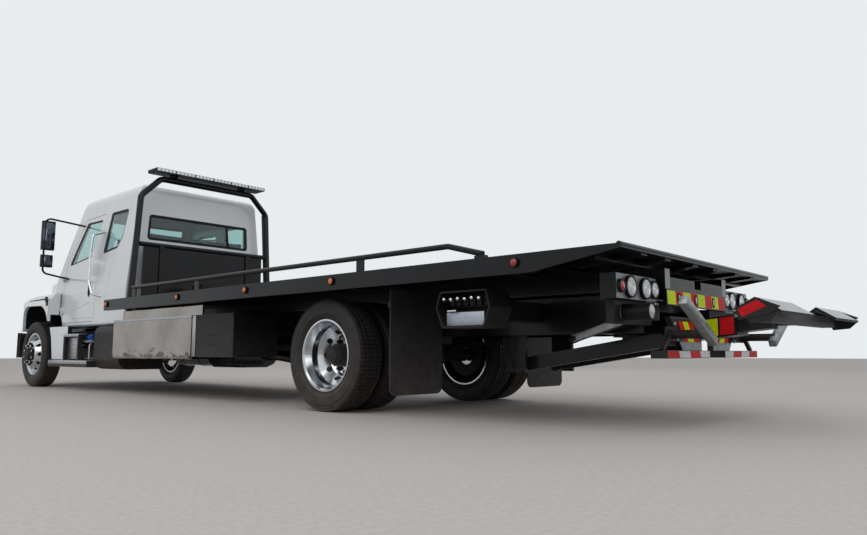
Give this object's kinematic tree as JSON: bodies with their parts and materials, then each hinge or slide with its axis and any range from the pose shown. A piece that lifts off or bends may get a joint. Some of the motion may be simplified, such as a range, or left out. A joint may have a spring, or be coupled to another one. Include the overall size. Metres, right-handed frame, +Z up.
{
  "type": "flatbed tow truck",
  "caption": "Flatbed tow truck: cab with tilting hood and doors, sliding and tilting steel bed with side rails, toolboxes and a rear wheel lift.",
  "frame": {"origin": "on the ground under the centre of the overall box", "axes": "+X forward, +Y to the truck's left, +Z up"},
  "size_m": [11.07, 2.77, 2.821],
  "materials": {
    "black_rubber": "matte",
    "black_steel": "gloss",
    "bright_steel": "polished",
    "galvanised": "satin",
    "glass": "tinted",
    "grey_cast": "as cast",
    "grey_fabric": "woven",
    "grey_plastic": "grained",
    "lamp_lens": "clear",
    "polished_alloy": "polished",
    "tyre": "matte",
    "white_paint": "gloss"
  },
  "bodies": {
    "chassis": {"frame_rails": "black_steel", "front_axle": "black_steel", "rear_axle": "black_steel", "engine_block": "grey_cast", "driveline": "black_steel", "exhaust": "bright_steel", "cab_shell": "white_paint", "cab_glass": "glass", "seats": "grey_fabric", "dashboard": "grey_plastic", "front_bumper": "black_steel", "cab_steps": "black_steel", "fuel_tank": "polished_alloy", "side_boxes": "black_steel", "toolboxes": "polished_alloy", "hoop": "black_steel", "light_bar": "black_steel", "mudflaps": "black_rubber", "control_boxes": "black_steel", "light_boxes": "black_steel", "rear_lamps": "lamp_lens", "grab_bars": "bright_steel", "hoop_strips": "galvanised"},
    "hood": {"hood_shell": "white_paint", "grille": "black_steel", "headlamps": "lamp_lens"},
    "door_left": {"door_left": "white_paint", "door_glass_left": "glass", "mirror_left": "black_steel"},
    "door_right": {"door_right": "white_paint", "door_glass_right": "glass", "mirror_right": "black_steel"},
    "toolbox_door_left": {"toolbox_door_left": "polished_alloy"},
    "toolbox_door_right": {"toolbox_door_right": "polished_alloy"},
    "knuckle_left": {"knuckle_left": "black_steel"},
    "knuckle_right": {"knuckle_right": "black_steel"},
    "tie_rod": {"tie_rod": "black_steel"},
    "front_wheel_left": {"wheel_front_left": "polished_alloy", "tyre_front_left": "tyre"},
    "front_wheel_right": {"wheel_front_right": "polished_alloy", "tyre_front_right": "tyre"},
    "rear_wheels_left": {"wheels_rear_left": "polished_alloy", "tyres_rear_left": "tyre"},
    "rear_wheels_right": {"wheels_rear_right": "polished_alloy", "tyres_rear_right": "tyre"},
    "tilt_frame": {"tilt_frame": "black_steel"},
    "deck": {"deck": "black_steel", "side_rails": "black_steel", "bed_lamps": "lamp_lens", "winch": "black_steel"},
    "tilt_barrels": {"tilt_barrels": "black_steel"},
    "tilt_rods": {"tilt_rods": "bright_steel"},
    "lift_arm": {"lift_arm": "black_steel", "l_arms": "galvanised"},
    "lift_barrel": {"lift_barrels": "black_steel"},
    "lift_rod": {"lift_rods": "bright_steel"},
    "boom": {"boom": "black_steel"},
    "crossbar": {"crossbar": "black_steel"}
  },
  "joints": [
    {"name": "hood_tilt", "type": "hinge", "parent": "chassis", "child": "hood", "pos_m": [5.455, 0, 0.79], "axis": [0, 1, 0], "range_deg": [0, 60]},
    {"name": "door_left_swing", "type": "hinge", "parent": "chassis", "child": "door_left", "pos_m": [4.058, 1.004, 1.5], "axis": [0, 0, -1], "range_deg": [0, 70]},
    {"name": "door_right_swing", "type": "hinge", "parent": "chassis", "child": "door_right", "pos_m": [4.058, -1.004, 1.5], "axis": [0, 0, 1], "range_deg": [0, 70]},
    {"name": "toolbox_left_drop", "type": "hinge", "parent": "chassis", "child": "toolbox_door_left", "pos_m": [1.055, 1.199, 0.432], "axis": [-1, 0, 0], "range_deg": [0, 90]},
    {"name": "toolbox_right_drop", "type": "hinge", "parent": "chassis", "child": "toolbox_door_right", "pos_m": [1.055, -1.199, 0.432], "axis": [1, 0, 0], "range_deg": [0, 90]},
    {"name": "steer_left", "type": "hinge", "parent": "chassis", "child": "knuckle_left", "pos_m": [4.555, 0.85, 0.465], "axis": [0, 0, 1], "range_deg": [-40, 40]},
    {"name": "steer_right", "type": "hinge", "parent": "chassis", "child": "knuckle_right", "pos_m": [4.555, -0.85, 0.465], "axis": [0, 0, 1], "range_deg": [-40, 40]},
    {"name": "tie_rod_shift", "type": "slide", "parent": "chassis", "child": "tie_rod", "axis": [0, -1, 0], "range_m": [-0.15, 0.15]},
    {"name": "front_left_roll", "type": "hinge", "parent": "knuckle_left", "child": "front_wheel_left", "pos_m": [4.555, 1.055, 0.465], "axis": [0, 1, 0], "continuous": true},
    {"name": "front_right_roll", "type": "hinge", "parent": "knuckle_right", "child": "front_wheel_right", "pos_m": [4.555, -1.055, 0.465], "axis": [0, 1, 0], "continuous": true},
    {"name": "rear_left_roll", "type": "hinge", "parent": "chassis", "child": "rear_wheels_left", "pos_m": [-2.035, 0.905, 0.465], "axis": [0, 1, 0], "continuous": true},
    {"name": "rear_right_roll", "type": "hinge", "parent": "chassis", "child": "rear_wheels_right", "pos_m": [-2.035, -0.905, 0.465], "axis": [0, 1, 0], "continuous": true},
    {"name": "bed_tilt", "type": "hinge", "parent": "chassis", "child": "tilt_frame", "pos_m": [-4.435, 0, 0.93], "axis": [0, -1, 0], "range_deg": [0, 12]},
    {"name": "bed_slide", "type": "slide", "parent": "tilt_frame", "child": "deck", "axis": [-1, 0, 0], "range_m": [0, 4]},
    {"name": "tilt_barrel_swing", "type": "hinge", "parent": "chassis", "child": "tilt_barrels", "pos_m": [-2.735, 0, 0.7], "axis": [0, -1, 0], "range_deg": [0, 30]},
    {"name": "tilt_rod_slide", "type": "slide", "parent": "tilt_barrels", "child": "tilt_rods", "axis": [0.986, 0, 0.1669], "range_m": [0, 0.25]},
    {"name": "lift_tilt", "type": "hinge", "parent": "chassis", "child": "lift_arm", "pos_m": [-3.385, 0, 0.39], "axis": [0, -1, 0], "range_deg": [0, 10]},
    {"name": "boom_extend", "type": "slide", "parent": "lift_arm", "child": "boom", "axis": [-0.9945, 0, 0.1044], "range_m": [0, 0.45]},
    {"name": "crossbar_swivel", "type": "hinge", "parent": "boom", "child": "crossbar", "pos_m": [-5.27, 0, 0.7], "axis": [0, 0, 1], "range_deg": [-12, 12]},
    {"name": "lift_barrel_swing", "type": "hinge", "parent": "chassis", "child": "lift_barrel", "pos_m": [-3.095, 0, 0.742], "axis": [0, -1, 0], "range_deg": [0, 15]},
    {"name": "lift_rod_slide", "type": "slide", "parent": "lift_barrel", "child": "lift_rod", "axis": [-0.995, 0, -0.0995], "range_m": [0, 0.12]}
  ],
  "couplings": [
    {"joint": "steer_right", "follows": "steer_left", "ratio": 1},
    {"joint": "tie_rod_shift", "follows": "steer_left", "m_per_rad": 0.184},
    {"joint": "tilt_barrel_swing", "follows": "bed_tilt", "ratio": 2.0591},
    {"joint": "tilt_rod_slide", "follows": "bed_tilt", "m_per_rad": 0.8527},
    {"joint": "lift_barrel_swing", "follows": "lift_tilt", "ratio": 0.6751},
    {"joint": "lift_rod_slide", "follows": "lift_tilt", "m_per_rad": 0.3015}
  ]
}
